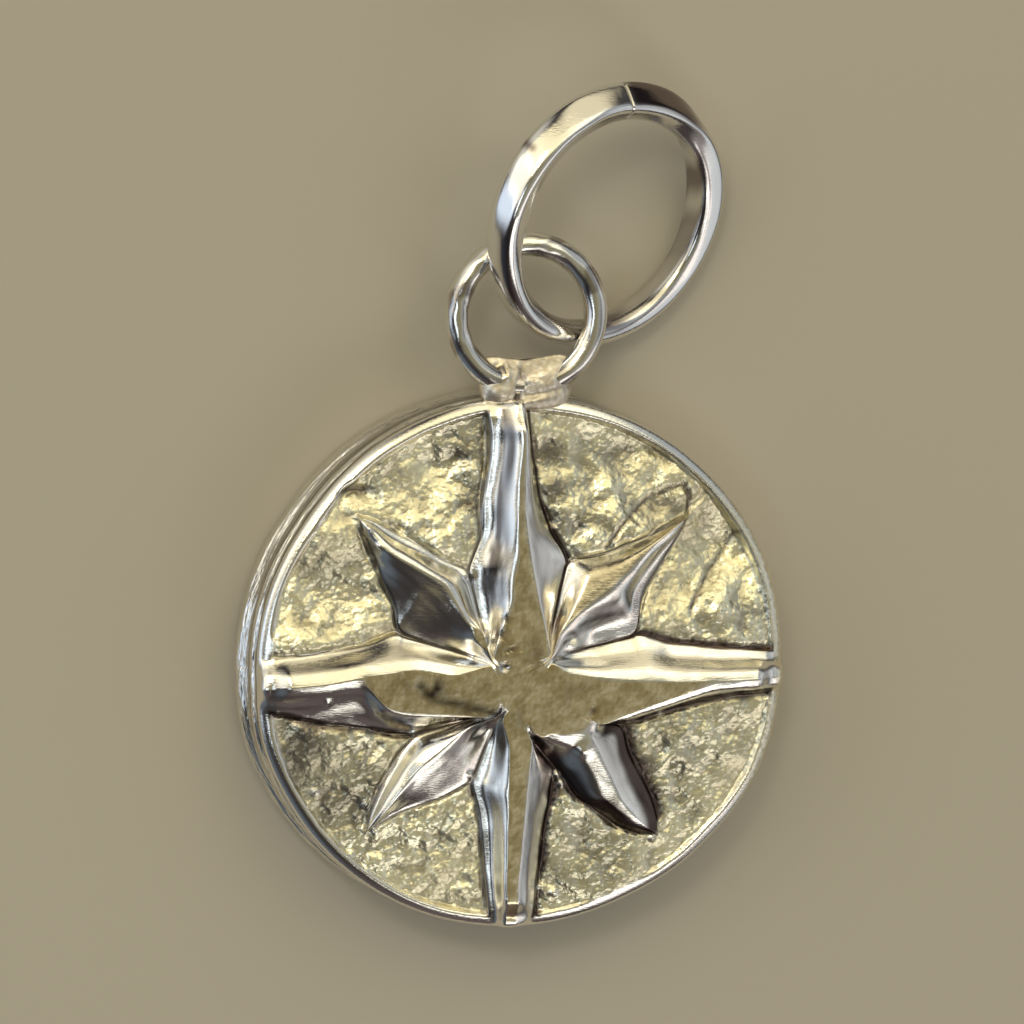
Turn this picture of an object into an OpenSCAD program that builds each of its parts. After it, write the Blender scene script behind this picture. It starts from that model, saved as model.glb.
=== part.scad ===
// North star charm: a cast disc with a raised compass star, a soldered wire loop and a jump ring.
// The disc lies on its back at z = 0, face up, with the loop toward +Y. Millimetres.
// The origin is the middle of the disc's back.

/* [Disc] */
// Diameter of the disc
disc_d = 15; // [14.8:0.1:16]
// Thickness of the disc under the star
disc_t = 2.6; // [2.4:0.1:3]
// Radius of the polished edge round the face
face_edge_r = 0.28; // [0.2:0.02:0.4]
// Radius of the edge round the back
back_edge_r = 0.3; // [0.1:0.02:0.4]

/* [Star] */
// Where the star's middle lies, left or right of the disc's middle
star_x = -0.28; // [-0.32:0.01:0]
// Where the star's middle lies, above or below the disc's middle
star_y = -0.4; // [-0.44:0.01:-0.3]
// Height of the star's filed flat top above the field
star_relief = 0.62; // [0.5:0.02:0.8]

/* [Loop] */
// Outer diameter of the soldered loop
loop_od = 4.6; // [4.4:0.02:4.8]
// Diameter of the loop's round wire
loop_wire = 0.68; // [0.6:0.02:0.7]
// Sideways offset of the loop from the disc's middle
loop_x = 0.19; // [0:0.01:0.3]
// How deep the loop's wire sits in the disc's rim
loop_bite = 0.05; // [0.02:0.01:0.1]
// Width of the solder between the loop and the rim
solder_w = 2.6; // [2.4:0.1:3]
// How far the solder's upper corners reach into the loop's opening
solder_fill = 0.68; // [0.6:0.02:0.7]
// How far the hollow upper edge of the solder dips below its corners
solder_dip = 0.34; // [0.2:0.02:0.4]
// Radius of that hollow edge
solder_hollow_r = 2.3; // [2:0.1:3]
// Thickness of the solder, front to back
solder_t = 0.72; // [0.6:0.02:0.76]

/* [Jump ring] */
// Outer diameter of the jump ring
ring_od = 7.6; // [7.5:0.02:7.7]
// Thickness of the ring's wire across the ring
ring_thick = 0.76; // [0.7:0.02:0.8]
// Width of the ring's wire along the ring's axis
ring_broad = 0.96; // [0.9:0.02:1]
// Radius of the wire's rounded corners
ring_corner = 0.32; // [0.2:0.02:0.34]
// Angle at which the ring leans on the loop
ring_lean = 28.3; // [28:0.1:29]
// Direction in which the leaning ring is lowest, from +X toward +Y
ring_low_side = -35.6; // [-37:0.1:-34]
// Where the middle of the ring lies, left to right
ring_x = 2.48; // [2.46:0.01:2.5]
// Where the middle of the ring lies, bottom to top
ring_y = 12.36; // [12.34:0.01:12.38]

/* [Hidden] */

// How far the star is sunk into the disc, so that the two fuse
star_sink = 0.3;

// The four long arms. waist and reach are distances from the star's middle. foot is half the arm's
// width on the field and top half the width of its filed top, at the waist and at the end.
//  bearing  waist  reach  foot: waist  end   top: waist  end   height at the end
LONG = [
    [  -1,    4.5,   7.68,       0.81,  0.48,       0.38, 0.08,  0.56],
    [  90,    4.6,   7.76,       0.87,  0.55,       0.10, 0.06,  0.44],
    [ 180,    4.4,   7.10,       1.10,  0.70,       0.12, 0.06,  0.46],
    [ 270,    3.7,   6.94,       0.97,  0.60,       0.22, 0.14,  0.52],
];

// The tips of the four short arms, each between two long ones. A short arm's ridge climbs from its
// tip to a knee on the same bearing, and from there to a corner of the filed top.
//  bearing  reach  knee: distance  height  corner: bearing  distance
SHORT = [
    [  41.4,   6.6,            3.4,   0.50,              35,      1.15],
    [ 132.5,   6.3,            3.3,   0.50,             138,      0.95],
    [ 224.2,   5.8,            3.2,   0.48,             241,      0.95],
    [ 312.8,   6.1,            3.4,   0.50,             310,      1.90],
];

// The notches where the foot of a short arm meets the long arm before it and the one after it.
//  before: bearing  distance  after: bearing  distance
NOTCHES = [
    [             18,      3.8,             65,      3.7],
    [            112,      3.4,            156,      3.6],
    [            207,      3.1,            247,      3.0],
    [            296,      2.7,            338,      3.4],
];

loop_r = (loop_od - loop_wire) / 2;
loop_y = disc_d / 2 - loop_bite + loop_od / 2;
loop_z = disc_t - loop_wire / 2 - 0.01;
solder_top = loop_y - loop_od / 2 + loop_wire + solder_fill;
solder_z = disc_t - solder_t / 2 - 0.08;
ring_r = (ring_od - ring_thick) / 2;

// The ring's lowest point touches the surface that the charm lies on.
ring_z = (ring_r + ring_thick / 2 - ring_corner) * sin(ring_lean)
    + (ring_broad / 2 - ring_corner) * cos(ring_lean) + ring_corner;

// Half of the disc's section, from its axis to its wall.
module disc_section() {
    r = disc_d / 2;
    translate([0, back_edge_r]) square([r, disc_t - face_edge_r - back_edge_r]);
    square([r - back_edge_r, disc_t]);
    square([r - face_edge_r, disc_t]);
    translate([r - back_edge_r, back_edge_r]) circle(back_edge_r, $fn = 48);
    translate([r - face_edge_r, disc_t - face_edge_r]) circle(face_edge_r, $fn = 48);
}

module disc() {
    rotate_extrude($fn = 128) disc_section();
}

// A point at a bearing and distance from the star's middle, moved sideways to the arm's left.
function polar(bearing, dist, z, side = 0) = [
    dist * cos(bearing) - side * sin(bearing),
    dist * sin(bearing) + side * cos(bearing),
    z
];

// The star's outline at height z, seven points for a long arm and the short arm that follows it.
function outline(z) = [
    for (i = [0:3])
        let (l = LONG[i], s = SHORT[i], c = NOTCHES[i])
            each [
                polar(l[0], l[1], z, -l[3]),
                polar(l[0], l[2], z, -l[4]),
                polar(l[0], l[2], z, l[4]),
                polar(l[0], l[1], z, l[3]),
                polar(c[0], c[1], z),
                polar(s[0], s[1], z),
                polar(c[2], c[3], z)
            ]
];

// What lies above the outline, six points for a long arm and the short arm that follows it: the
// four corners of the long arm's filed top, then the corner and the knee of the short arm.
function crest() = [
    for (i = [0:3])
        let (l = LONG[i], s = SHORT[i])
            each [
                polar(l[0], l[1], star_relief, -l[5]),
                polar(l[0], l[2], l[7], -l[6]),
                polar(l[0], l[2], l[7], l[6]),
                polar(l[0], l[1], star_relief, l[5]),
                polar(s[4], s[5], star_relief),
                polar(s[0], s[2], s[3])
            ]
];

// The raised star, sunk a little into the disc, as one closed solid of flat faces. In each quarter
// of it, foot(quarter, k) and top(quarter, k) are the numbers of the outline's and the crest's points.
module star() {
    feet = outline(0);
    crests = crest();
    hub = len(feet) + len(crests);
    base = hub + 1;
    under = base + len(feet);
    function foot(quarter, k) = (7 * quarter + k) % len(feet);
    function top(quarter, k) = len(feet) + (6 * quarter + k) % len(crests);
    sides = [
        for (i = [0:3], k = [0:4])
            each [[foot(i, k), top(i, k), top(i, k + 1)], [foot(i, k), top(i, k + 1), foot(i, k + 1)]]
    ];
    far_flanks = [
        for (i = [0:3])
            each [
                [foot(i, 5), top(i, 5), foot(i, 6)], [foot(i, 6), top(i, 5), top(i, 4)],
                [foot(i, 6), top(i, 4), top(i, 6)], [foot(i, 6), top(i, 6), foot(i, 7)]
            ]
    ];
    filed = [
        for (i = [0:3])
            each [
                [top(i, 0), top(i, 3), top(i, 2)], [top(i, 0), top(i, 2), top(i, 1)],
                [hub, top(i, 3), top(i, 0)], [hub, top(i, 4), top(i, 3)], [hub, top(i, 6), top(i, 4)]
            ]
    ];
    sunk = [
        for (k = [0:len(feet) - 1])
            let (next = (k + 1) % len(feet))
                each [[k, next, base + next], [k, base + next, base + k], [under, base + k, base + next]]
    ];
    translate([star_x, star_y, disc_t])
        polyhedron(
            concat(feet, crests, [[0, 0, star_relief]], outline(-star_sink), [[0, 0, -star_sink]]),
            concat(sides, far_flanks, filed, sunk)
        );
}

// The ring of round wire that stands out of the rim, parallel to the face.
module loop() {
    translate([loop_x, loop_y, loop_z])
        rotate_extrude($fn = 96)
            translate([loop_r, 0]) circle(d = loop_wire, $fn = 48);
}

// The pad of solder that runs from the rim up to the bottom of the loop's opening, with a hollow
// upper edge. Its front and back are flat and its top is round.
module solder() {
    r = solder_t / 2;
    bottom = disc_d / 2 - 1;
    intersection() {
        translate([loop_x - solder_w / 2, 0, solder_z])
            rotate([90, 0, 90])
                linear_extrude(solder_w) {
                    translate([bottom, -r]) square([solder_top - r - bottom, solder_t]);
                    translate([solder_top - r, 0]) circle(r, $fn = 48);
                }
        linear_extrude(disc_t)
            difference() {
                solder_outline(solder_w, bottom, solder_top, r);
                translate([loop_x, solder_top - solder_dip + solder_hollow_r])
                    circle(solder_hollow_r, $fn = 96);
            }
    }
}

// The pad seen from the front: a rectangle with its two upper corners rounded.
module solder_outline(w, bottom, top, r) {
    translate([loop_x - w / 2, bottom]) square([w, top - r - bottom]);
    translate([loop_x - w / 2 + r, bottom]) square([w - 2 * r, top - bottom]);
    for (side = [-1, 1])
        translate([loop_x + side * (w / 2 - r), top - r]) circle(r, $fn = 48);
}

module star_disc() {
    color("silver") {
        disc();
        star();
        loop();
        solder();
    }
}

// The section of the ring's wire: a rectangle with round corners.
module ring_section() {
    square([ring_thick - 2 * ring_corner, ring_broad], center = true);
    square([ring_thick, ring_broad - 2 * ring_corner], center = true);
    for (x = [-1, 1], y = [-1, 1])
        translate([x * (ring_thick / 2 - ring_corner), y * (ring_broad / 2 - ring_corner)])
            circle(ring_corner, $fn = 48);
}

// The jump ring passes over the loop's wire at the upper left, down through the loop and out
// under the wire at the right, and its lowest point touches the surface.
module jump_ring() {
    color("gainsboro")
        translate([ring_x, ring_y, ring_z])
            rotate([0, 0, ring_low_side])
                rotate([0, ring_lean, 0])
                    rotate_extrude($fn = 128)
                        translate([ring_r, 0]) ring_section();
}

star_disc();
jump_ring();
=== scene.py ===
"""North star charm: the looks of a cast silver disc with a raised compass star, its soldered loop
and its jump ring, lying on a pale floor. Sizes in the code are millimetres in the part's frame,
and every mesh is put into metres when it is made."""
import math

import bpy
import numpy as np
from mathutils import Matrix


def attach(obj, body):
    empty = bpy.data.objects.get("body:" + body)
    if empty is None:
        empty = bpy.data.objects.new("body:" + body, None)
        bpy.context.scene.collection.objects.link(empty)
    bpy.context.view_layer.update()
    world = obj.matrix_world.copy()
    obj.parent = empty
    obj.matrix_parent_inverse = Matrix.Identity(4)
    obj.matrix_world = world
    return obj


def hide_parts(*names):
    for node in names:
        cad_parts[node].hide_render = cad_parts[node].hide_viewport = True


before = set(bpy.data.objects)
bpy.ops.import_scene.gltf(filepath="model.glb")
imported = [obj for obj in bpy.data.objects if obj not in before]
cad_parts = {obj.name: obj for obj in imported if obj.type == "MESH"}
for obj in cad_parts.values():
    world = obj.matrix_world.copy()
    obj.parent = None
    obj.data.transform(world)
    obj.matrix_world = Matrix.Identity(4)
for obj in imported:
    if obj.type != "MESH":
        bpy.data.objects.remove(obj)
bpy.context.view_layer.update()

MM = 0.001


# Small tools for arrays

# How many random values a lattice has each way, and where on it the part's middle lies.
LATTICE = 128
LATTICE_MIDDLE = 40.0


def ease(t):
    """The smooth step of a share from 0 to 1."""
    return t * t * (3 - 2 * t)


def smooth(value, low, high):
    """0 below low, 1 above high and a smooth step between."""
    return ease(np.clip((value - low) / (high - low), 0, 1))


def lattice_noise(x, y, cell, seed):
    """Smooth noise from -1 to 1: random values on a square lattice, blended by a smooth step."""
    table = np.random.default_rng(seed).uniform(-1, 1, (LATTICE, LATTICE))
    u, v = x / cell + LATTICE_MIDDLE, y / cell + LATTICE_MIDDLE
    i, j = np.floor(u).astype(int), np.floor(v).astype(int)
    fu, fv = ease(u - i), ease(v - j)

    def at(di, dj):
        return table[(i + di) % LATTICE, (j + dj) % LATTICE]

    low = at(0, 0) * (1 - fu) + at(1, 0) * fu
    high = at(0, 1) * (1 - fu) + at(1, 1) * fu
    return low * (1 - fv) + high * fv


def ring_noise(u, w, major, minor, cell, seed):
    """Smooth noise over a ring of wire, u round the ring and w round the wire, without a seam. The
    front and the back of the wire are shifted apart, so that they differ."""
    out = major + minor * np.cos(w)
    shift = 0.7 * minor * np.sin(w)
    return lattice_noise(out * np.cos(u) + shift, out * np.sin(u) - shift, cell, seed)


def bent(value, power):
    """A sine or cosine raised to a power with its sign kept, for ovals and superellipses."""
    return np.sign(value) * np.abs(value) ** power


def spot(x, y, at_x, at_y, size):
    """A round hump: 1 at its middle, and fading out as a bell curve over size."""
    return np.exp(-((x - at_x) ** 2 + (y - at_y) ** 2) / size ** 2)


def softened(values, reach):
    """Values along the rows, averaged over a few rows so that corners turn smoothly."""
    k = np.exp(-np.linspace(-2, 2, 2 * reach + 1) ** 2)
    padded = np.pad(values, (reach, reach), mode="edge")
    return np.convolve(padded, k / k.sum(), mode="valid")


def full_turn(count):
    """Angles evenly spaced round a full turn."""
    return np.linspace(0, 2 * math.pi, count, endpoint=False)


def in_scene(name, data):
    """A new object in the scene that shows a mesh, a lamp or a camera."""
    thing = bpy.data.objects.new(name, data)
    bpy.context.scene.collection.objects.link(thing)
    return thing


def closed_mesh(name, points, poles=(), marks=None):
    """A closed mesh from a grid of points in millimetres. Columns wrap round. Rows wrap too for a
    ring, and otherwise two poles close the first and the last row. marks are named values, one for
    each point of the grid, and the poles take the first of them."""
    rows, cols = points.shape[:2]
    here = np.arange(rows * cols).reshape(rows, cols)
    below = np.roll(here, -1, 0)
    first, last = here[0], here[-1]
    if poles:
        here, below = here[:-1], below[:-1]
    quads = np.stack([here, below, np.roll(below, -1, 1), np.roll(here, -1, 1)], -1)
    faces = quads.reshape(-1, 4).tolist()
    verts = points.reshape(-1, 3)
    if poles:
        number = np.full(cols, len(verts))
        faces += np.stack([number, first, np.roll(first, -1)], 1).tolist()
        faces += np.stack([number + 1, np.roll(last, -1), last], 1).tolist()
        verts = np.vstack([verts, np.array(poles)])
    mesh = bpy.data.meshes.new(name)
    mesh.from_pydata((verts * MM).tolist(), [], faces)
    mesh.polygons.foreach_set("use_smooth", np.ones(len(mesh.polygons), bool))
    for key, values in (marks or {}).items():
        full = np.append(values, np.full(len(poles), values.flat[0])).astype(np.float32)
        mesh.attributes.new(key, "FLOAT", "POINT").data.foreach_set("value", full)
    mesh.validate()
    mesh.update()
    return in_scene(name, mesh)


# The disc and its star

DISC_T = 2.6
EDGE_R = 0.28
BACK_R = 0.3
RELIEF = 0.62
STAR_X, STAR_Y = -0.28, -0.4

# The wall, as heights and how far it stands out at the left: a rounded bead below the face and a
# flange at the foot. On the other sides both are about a third as large.
WALL = [
    (2.26, 0.0), (2.16, 0.0), (2.11, 0.01), (2.07, 0.045), (2.03, 0.095), (1.99, 0.125),
    (1.93, 0.135), (1.84, 0.12), (1.74, 0.06), (1.64, 0.01), (1.45, 0.0), (1.18, 0.0),
    (1.13, 0.03), (1.08, 0.08), (1.03, 0.135), (0.98, 0.185), (0.93, 0.22), (0.84, 0.235),
    (0.6, 0.22), (0.3, 0.17),
]

# The outline is slightly three-cornered.
#  bearing  front radius  back radius
OUTLINE = [
    (0, 7.48, 7.46), (20, 7.52, 7.46), (50, 7.46, 7.44), (75, 7.46, 7.44), (103, 7.50, 7.48),
    (120, 7.48, 7.50), (145, 7.40, 7.42), (162, 7.46, 7.48), (180, 7.45, 7.52), (195, 7.52, 7.60),
    (212, 7.46, 7.54), (240, 7.42, 7.46), (272, 7.36, 7.38), (292, 7.34, 7.38), (312, 7.44, 7.44),
    (335, 7.58, 7.52),
]
FRONT, BACK = 1, 2

# In the rows of the arms' edges and feet, a distance comes first, then the offset of the right
# line and that of the left line.
RIGHT, LEFT = 1, 2

# The long arms: the edges of their filed tops, their feet, and the height of the edges by distance.
LONG_ARMS = [
    dict(bearing=0,
         edges=[(1.35, -1.45, 0.23), (2.75, -1.07, 0.04), (3.5, -0.80, -0.03), (4.5, -0.53, -0.10),
                (5.6, -0.21, -0.12), (7.6, -0.15, -0.11)],
         feet=[(4.4, -1.00, 0.88), (5.4, -0.76, 0.74), (6.4, -0.62, 0.64), (7.9, -0.57, 0.50)],
         heights=[(4.1, 0.62), (5.7, 0.60), (7.9, 0.56)]),
    dict(bearing=90,
         edges=[(1.26, -0.82, 0.51), (1.82, -0.71, 0.34), (2.37, -0.56, 0.10), (2.93, -0.48, 0.13),
                (3.5, -0.36, -0.06), (4.6, -0.23, -0.02), (5.7, -0.24, -0.08),
                (6.75, -0.29, -0.20), (7.9, -0.20, -0.10)],
         feet=[(4.1, -1.08, 0.84), (5.0, -0.76, 0.85), (6.2, -0.56, 0.63), (6.8, -0.48, 0.60),
               (7.9, -0.40, 0.70)],
         heights=[(4.6, 0.60), (6.0, 0.52), (7.9, 0.44)]),
    dict(bearing=180,
         edges=[(1.1, -0.44, 0.84), (1.75, -0.31, 0.80), (2.9, -0.54, 0.73), (3.65, -0.43, 0.57),
                (4.05, -0.40, 0.10), (4.3, -0.42, -0.34), (5.35, -0.24, -0.17),
                (7.4, -0.12, -0.04)],
         feet=[(4.2, -1.14, 1.12), (5.2, -1.01, 0.98), (6.2, -0.93, 0.72), (7.4, -0.87, 0.53)],
         heights=[(4.0, 0.62), (5.35, 0.54), (7.4, 0.46)]),
    dict(bearing=270,
         edges=[(1.64, -0.21, 0.42), (3.6, -0.23, 0.22), (5.6, -0.29, 0.03), (7.2, -0.20, 0.04)],
         feet=[(3.6, -0.94, 1.00), (4.3, -0.88, 0.86), (5.7, -0.74, 0.67), (7.2, -0.58, 0.60)],
         heights=[(4.2, 0.60), (5.6, 0.56), (7.2, 0.52)]),
]

# The short arms: their feet, and their ridges as distance, offset and height.
SHORT_ARMS = [
    dict(bearing=41.4, tip=6.62,
         feet=[(3.9, -0.98, 1.08), (4.4, -0.68, 0.80), (5.45, -0.40, 0.40), (6.3, -0.16, 0.14)],
         ridge=[(1.9, 0.28, 0.60), (2.6, 0.26, 0.57), (3.6, 0.10, 0.52), (4.5, 0.11, 0.45),
                (5.3, 0.17, 0.36), (6.2, 0.08, 0.22)]),
    dict(bearing=132.5, tip=6.40,
         feet=[(3.9, -0.86, 0.92), (4.6, -0.70, 0.74), (5.3, -0.46, 0.44), (6.1, -0.22, 0.18)],
         ridge=[(1.7, -0.20, 0.60), (2.3, -0.14, 0.58), (3.45, -0.42, 0.52), (4.4, -0.16, 0.46),
                (5.3, 0.10, 0.38), (6.1, 0.04, 0.20)]),
    dict(bearing=224.2, tip=5.78,
         feet=[(3.7, -0.84, 0.88), (4.65, -0.58, 0.33), (5.35, -0.28, 0.10)],
         ridge=[(1.65, -0.12, 0.60), (2.6, -0.22, 0.56), (3.5, -0.32, 0.48), (4.65, -0.17, 0.34),
                (5.35, -0.06, 0.20)]),
    dict(bearing=312.8, tip=6.10,
         feet=[(3.7, -0.90, 0.98), (4.5, -0.72, 0.77), (5.3, -0.55, 0.52), (5.85, -0.26, 0.22)],
         ridge=[(1.56, -0.31, 0.62), (1.84, -0.07, 0.62), (2.16, 0.20, 0.61), (2.47, 0.50, 0.60),
                (2.81, 0.41, 0.56), (3.6, 0.17, 0.48), (4.64, -0.13, 0.38), (5.4, -0.13, 0.28),
                (5.8, -0.09, 0.16)]),
]

# The corners of the filed top before and after each short arm, and the notches beside its foot.
#  bearing  distance
CORNERS_BEFORE = [(35, 1.15), (138, 0.95), (241, 0.95), (284.3, 1.47)]
CORNERS_AFTER = [(35, 1.15), (138, 0.95), (241, 0.95), (331.4, 2.66)]
NOTCHES_BEFORE = [(18, 3.8), (112, 3.4), (207, 3.1), (296, 2.7)]
NOTCHES_AFTER = [(65, 3.7), (156, 3.6), (247, 3.0), (337, 3.42)]

# A valley between two arms: shares of the way from its corner to its notch, and its heights.
VALLEY = [(0, RELIEF), (0.14, 0.20), (0.40, 0.06), (1, -0.02)]

# Small lumps (raised) and pits (sunk) in the star: x, y from its middle, radius and height.
LUMPS = [
    (-0.98, 1.38, 0.26, 0.24), (1.78, 1.22, 0.26, 0.16), (0.72, -1.42, 0.15, 0.06),
    (-5.30, -0.32, 0.07, 0.07), (-3.85, -0.62, 0.08, 0.08), (-2.50, -1.05, 0.08, 0.08),
    (-1.30, 3.05, 0.16, 0.05), (-0.20, 1.02, 0.10, -0.07), (-0.38, 0.52, 0.13, -0.06),
    (0.02, 0.02, 0.10, -0.06), (2.15, -0.84, 0.09, -0.06), (-0.52, 1.42, 0.16, -0.07),
    (-0.35, 1.85, 0.12, -0.05), (1.86, -1.95, 0.20, 0.10),
]

# Scars that cross the casting: width, depth and a path from the star's middle.
SCARS = [
    (0.15, 0.03, [(-2.75, 0.10), (-2.45, -0.25), (-1.85, -0.42), (-1.15, -0.62), (-0.55, -0.80)]),
    (0.08, 0.10, [(2.67, 3.67), (3.05, 4.18), (3.42, 4.58), (4.10, 5.02), (4.54, 5.19),
                  (4.96, 5.27), (5.10, 4.95), (5.08, 4.55)]),
    (0.07, 0.06, [(5.10, 1.85), (5.55, 2.60), (6.15, 3.30), (6.50, 3.90)]),
    (0.16, 0.14, [(-5.05, 5.50), (-4.60, 5.47), (-4.15, 5.44)]),
]

# In each quarter of the next three tables: the long arm's left flank, the short arm's right and
# left flank, and the right flank of the next long arm.

# The section of each flank: the width of its gentle foot and that foot's slope, then the width and
# slope of its gentle shoulder. Steep metal lies between them.
FLANKS = [
    [(0.34, 0.34, 0.30, 0.34), (0.50, 0.13, 0.20, 0.40), (0.14, 0.34, 0.80, 0.20),
     (0.02, 0.50, 0.36, 0.66)],
    [(0.30, 0.30, 0.08, 0.22), (0.18, 0.30, 0.20, 0.22), (0.02, 0.30, 0.10, 0.40),
     (0.08, 0.32, 0.34, 0.34)],
    [(0.10, 0.35, 0.03, 0.30), (0.14, 0.20, 0.40, 0.46), (0.14, 0.28, 0.03, 0.30),
     (0.32, 0.30, 0.10, 0.22)],
    [(0.02, 0.50, 0.34, 0.60), (0.02, 0.50, 0.50, 0.20), (0.02, 0.50, 0.36, 0.52),
     (0.03, 0.40, 0.24, 0.28)],
]

# The painted shade along each flank's foot: how dark it is, how far it reaches up the flank and out
# on the field, and how dark the steep middle of the flank is painted, as a painted dark reflection.
PAINTED_SHADE = [
    [(1.0, 0.03, 0.24, 0.00), (0.85, 0.08, 0.08, 0.60), (0.6, 0.04, 0.12, 0.00),
     (1.0, 0.04, 0.16, 0.15)],
    [(0.7, 0.03, 0.12, 0.80), (0.3, 0.03, 0.08, 0.10), (0.8, 0.08, 0.14, 0.10),
     (0.5, 0.03, 0.10, 0.42)],
    [(0.9, 0.10, 0.18, 0.40), (0.7, 0.04, 0.12, 0.10), (0.7, 0.05, 0.12, 0.25),
     (0.8, 0.04, 0.14, 0.35)],
    [(1.0, 0.10, 0.24, 0.10), (1.0, 0.42, 0.16, 0.30), (1.0, 0.40, 0.30, 0.35),
     (0.95, 0.16, 0.18, 0.10)],
]

# How deep the casting lines along each flank are.
STREAKS = [
    (0.010, 0.016, 0.008, 0.014),
    (0.012, 0.010, 0.034, 0.010),
    (0.040, 0.016, 0.030, 0.014),
    (0.012, 0.034, 0.012, 0.020),
]

# Stains and painted shade on the field, the shade in strips beside the arms' feet: x, y from the
# star's middle, radius and darkness.
STAINS_AND_SHADE = [
    (-5.6, -1.9, 1.25, 0.95), (-4.3, -2.5, 0.9, 0.90), (-5.0, -3.4, 0.9, 0.75),
    (-2.9, -2.4, 0.6, 0.60), (1.15, 6.2, 0.45, 0.80), (1.2, 5.3, 0.45, 0.85),
    (1.3, 4.3, 0.45, 0.80), (2.2, -5.0, 1.3, 0.45), (5.6, -1.8, 1.3, 0.45), (4.2, -1.3, 0.6, 0.55),
    (-1.3, 6.3, 0.7, 0.60), (-1.05, 5.2, 0.45, 0.70), (-1.1, 4.2, 0.40, 0.60),
    (4.9, 4.1, 0.8, 0.40), (-5.0, 3.1, 0.6, 0.45), (3.45, -1.7, 0.42, 0.85),
    (3.85, -2.6, 0.42, 0.90), (4.2, -3.5, 0.38, 0.80), (1.45, -4.3, 0.5, 0.60),
    (4.0, 1.05, 0.5, 0.40), (1.6, -2.9, 0.4, 0.60), (3.0, 6.2, 0.6, 0.35), (-3.4, 6.0, 0.6, 0.30),
    (4.1, 2.4, 0.45, 0.40),
]

# Slopes of the field: x, y from the star's middle, radius and how steeply it falls toward +Y.
SLOPES = [
    (-2.4, 4.9, 1.4, 0.30), (-5.8, 1.9, 1.2, 0.30), (-4.8, 4.8, 0.7, 0.30), (3.0, 4.9, 1.6, 0.34),
    (6.0, 2.5, 1.5, 0.44), (4.4, 1.9, 0.9, 0.28), (-2.6, -5.0, 1.2, 0.10), (-5.1, 3.4, 0.9, -0.10),
    (-2.2, 6.7, 0.8, -0.12), (-5.3, -2.2, 1.4, -0.16), (5.4, 4.4, 0.8, -0.10),
    (2.4, -4.8, 1.0, 0.03), (5.2, -2.2, 1.1, 0.02), (3.75, 4.3, 0.55, 0.30),
]

# Small bright beads on the field and at the feet: x, y from the star's middle.
BEADS = [
    (-4.09, 4.45), (-3.87, 3.94), (-5.55, -2.87), (-4.17, -3.30), (-3.89, -4.05), (4.20, -1.03),
    (1.25, -2.68), (1.39, -2.91), (4.01, -4.60), (0.77, -5.86), (1.20, -6.02), (-1.23, -2.57),
]
BEAD_SIZE, BEAD_HEIGHT = 0.09, 0.07

# Darker patches of the filed top: x, y from the star's middle, radius and darkness.
PATCHES = [
    (-2.4, -0.05, 0.34, 1.00), (-1.1, -0.55, 0.55, 0.60), (0.6, 0.9, 0.40, 0.30),
    (0.2, -1.0, 0.35, 0.35), (-0.6, 0.9, 0.40, 0.45), (1.6, -0.3, 0.50, 0.25),
    (-3.3, 0.2, 0.40, 0.30), (-0.45, 1.9, 0.30, 0.50), (0.15, 2.6, 0.35, 0.30),
    (-0.1, -0.2, 0.30, 0.35),
]

# Each quarter of the grid has seven bands of columns: filed top, flank, field, flank, flank, field
# and flank. FLANK_OF gives a flank's number in the tables above, and the rising flanks are those
# whose last column is their top. One flank is partly filed.
COLUMNS = [8, 18, 42, 18, 18, 42, 18]
FLANK_OF = {1: 0, 3: 1, 4: 2, 6: 3}
RISING = (3, 6)
FILED_FLANK = (0, 4)

# The grid's rows on the face and on the polished edge, the distances where the lines are worked
# out, and a distance that is well past the rim.
FACE_ROWS = 118
EDGE_ROWS = 7
FIRST_R, LAST_R = 0.12, 8.1
PAST_RIM = 8.4

# The distances at which the lines are worked out: close together up to INNER_R, and further apart
# beyond. They are sampled so many times in each straight stretch, and averaged over so many rows.
INNER_R = 0.8
INNER_COUNT, OUTER_COUNT = 8, 140
SAMPLES = 60
SOFT_ROWS = 8

# The least gap between two lines, how much wider it is at the feet, how many degrees a millimetre
# the short arm's feet part past its tip, and the degrees from the long arm between which the seven
# lines of a quarter are spread evenly at the star's middle.
LINE_GAP = 0.03
FOOT_GAP = 1.6
PARTING = 9.0
FAN_START, FAN_END = 8, 82

# The ditch along the feet: its distance from them, which is also its width, and its depth. BLEND
# is how far the star's metal runs out on the field, and SINK how far the field lies below it.
DITCH, DITCH_DEPTH = 0.08, 0.06
BLEND = 0.06
SINK = 0.05

# Distances inside the outline where the field's step up to the polished edge ends and starts.
STEP_TOP, STEP_FOOT = 0.30, 0.42


def on_bearing(bearing, along, side=0.0):
    """The point at a distance along a bearing from the star's middle, offset to the left."""
    a = math.radians(bearing)
    return (along * math.cos(a) - side * math.sin(a), along * math.sin(a) + side * math.cos(a))


def valley_points(corner, notch):
    """The line of a valley between two arms: it drops steeply from the corner of the filed top and
    runs out slowly to the notch."""
    (cx, cy), (nx, ny) = corner, notch
    return [corner] + [(cx + k * (nx - cx), cy + k * (ny - cy)) for k, _ in VALLEY[1:-1]] + [notch]


def edge_line(corner, arm, side):
    """An edge of a long arm's filed top: its corner and the points of the arm that lie further out,
    with their heights."""
    far = math.hypot(*corner) + 0.05
    rise = np.array(arm["heights"])
    points, heights = [corner], [RELIEF]
    for row in arm["edges"]:
        point = on_bearing(arm["bearing"], row[0], row[side])
        if math.hypot(*point) > far:
            points.append(point)
            heights.append(np.interp(row[0], rise[:, 0], rise[:, 1]))
    return points, heights


def foot_line(valley, arm, side, ends=()):
    """The foot of an arm's flank: down the valley and on along the arm's side, level with the
    field, with its heights."""
    along = [on_bearing(arm["bearing"], row[0], row[side]) for row in arm["feet"]] + list(ends)
    return valley + along, [height for _, height in VALLEY] + [0] * len(along)


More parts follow.
